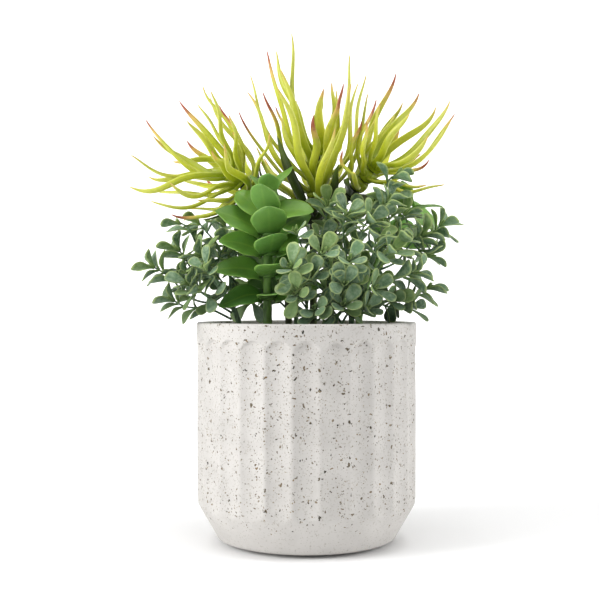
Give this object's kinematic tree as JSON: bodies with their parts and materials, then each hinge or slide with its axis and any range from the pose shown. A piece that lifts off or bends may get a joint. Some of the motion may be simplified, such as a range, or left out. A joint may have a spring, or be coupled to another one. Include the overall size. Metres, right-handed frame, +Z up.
{
  "type": "potted artificial succulent arrangement",
  "caption": "Fluted speckled pot holding wired artificial succulent stems: spiky yellow-green heads, bright broad leaves and frosted grey-green sprays.",
  "frame": {"origin": "centre of the felt pad's underside, on the surface that the pot stands on", "axes": "+Z up along the pot's axis, +Y away from the viewer of the front, +X to that viewer's right"},
  "size_m": [0.1928, 0.1298, 0.2955],
  "materials": {
    "pot_stone": "matte speckled off-white, like stone",
    "felt": "black felt",
    "foam": "dark green dry floral foam",
    "soil": "dark brown pressed fibre, like soil",
    "stake_steel": "bare steel wire",
    "dark_stem": "dark green moulded stem over wire",
    "spike_leaf": "yellow-green with reddish tips",
    "dark_strap": "dark green",
    "jade_leaf": "bright green",
    "frost_stem": "grey-green, frosted",
    "frost_leaf": "frosted grey-green with paler margins"
  },
  "bodies": {
    "root": {"pot": "pot_stone", "base_pad": "felt", "foam_block": "foam", "soil_cover": "soil", "center_spike_stake": "stake_steel", "left_spike_stake": "stake_steel", "right_spike_stake": "stake_steel", "front_jade_stake": "stake_steel", "back_jade_stake": "stake_steel", "right_spray_stake": "stake_steel", "left_spray_stake": "stake_steel", "back_spray_stake": "stake_steel"},
    "center_spike": {"center_spike_stem": "dark_stem", "center_collar": "dark_strap", "center_tier_1": "spike_leaf", "center_tier_2": "spike_leaf", "center_tier_3": "spike_leaf", "center_tier_4": "spike_leaf", "center_crown": "spike_leaf"},
    "left_spike": {"left_spike_stem": "dark_stem", "left_tier_1": "spike_leaf", "left_tier_2": "spike_leaf", "left_crown": "spike_leaf", "left_collar": "dark_strap"},
    "right_spike": {"right_spike_stem": "dark_stem", "right_tier_1": "spike_leaf", "right_tier_2": "spike_leaf", "right_crown": "spike_leaf", "right_collar": "dark_strap"},
    "front_jade": {"front_jade_stem": "jade_leaf", "front_jade_rosette": "jade_leaf", "front_jade_tier_5": "jade_leaf", "front_jade_tier_4": "jade_leaf", "front_jade_tier_3": "jade_leaf", "front_jade_tier_2": "jade_leaf", "front_jade_tier_1": "jade_leaf"},
    "back_jade": {"back_jade_stem": "jade_leaf", "back_jade_rosette": "jade_leaf", "back_jade_tier": "jade_leaf"},
    "right_spray": {"right_spray_stem": "frost_stem", "right_sprig_1": "frost_leaf", "right_sprig_2": "frost_leaf", "right_sprig_3": "frost_leaf", "right_sprig_4": "frost_leaf", "right_sprig_5": "frost_leaf", "right_sprig_6": "frost_leaf", "right_sprig_7": "frost_leaf", "right_sprig_8": "frost_leaf", "right_sprig_9": "frost_leaf"},
    "left_spray": {"left_spray_stem": "frost_stem", "left_sprig_1": "frost_leaf", "left_sprig_2": "frost_leaf", "left_sprig_3": "frost_leaf", "left_sprig_4": "frost_leaf", "left_sprig_5": "frost_leaf", "left_sprig_6": "frost_leaf"},
    "back_spray": {"back_spray_stem": "frost_stem", "back_sprig_1": "frost_leaf", "back_sprig_2": "frost_leaf", "back_sprig_3": "frost_leaf"}
  },
  "joints": [
    {"name": "center_spike_bend", "type": "hinge", "parent": "root", "child": "center_spike", "pos_m": [0.004, 0.005, 0.115], "axis": [-1, 0, 0], "range_deg": [0, 8]},
    {"name": "left_spike_bend", "type": "hinge", "parent": "root", "child": "left_spike", "pos_m": [-0.01, 0.006, 0.115], "axis": [0, -1, 0], "range_deg": [0, 8]},
    {"name": "right_spike_bend", "type": "hinge", "parent": "root", "child": "right_spike", "pos_m": [0.015, 0.012, 0.115], "axis": [0, 1, 0], "range_deg": [0, 8]},
    {"name": "front_jade_bend", "type": "hinge", "parent": "root", "child": "front_jade", "pos_m": [-0.022, -0.02, 0.115], "axis": [1, 0, 0], "range_deg": [0, 5]},
    {"name": "back_jade_bend", "type": "hinge", "parent": "root", "child": "back_jade", "pos_m": [0.03, 0.024, 0.115], "axis": [-0.766, 0.6428, 0], "range_deg": [0, 8]},
    {"name": "right_spray_bend", "type": "hinge", "parent": "root", "child": "right_spray", "pos_m": [0.024, -0.014, 0.115], "axis": [0.5, 0.866, 0], "range_deg": [0, 6]},
    {"name": "left_spray_bend", "type": "hinge", "parent": "root", "child": "left_spray", "pos_m": [-0.036, -0.006, 0.115], "axis": [0.342, -0.9397, 0], "range_deg": [0, 6]},
    {"name": "back_spray_bend", "type": "hinge", "parent": "root", "child": "back_spray", "pos_m": [-0.006, 0.036, 0.115], "axis": [-0.9962, -0.0872, 0], "range_deg": [0, 8]}
  ]
}
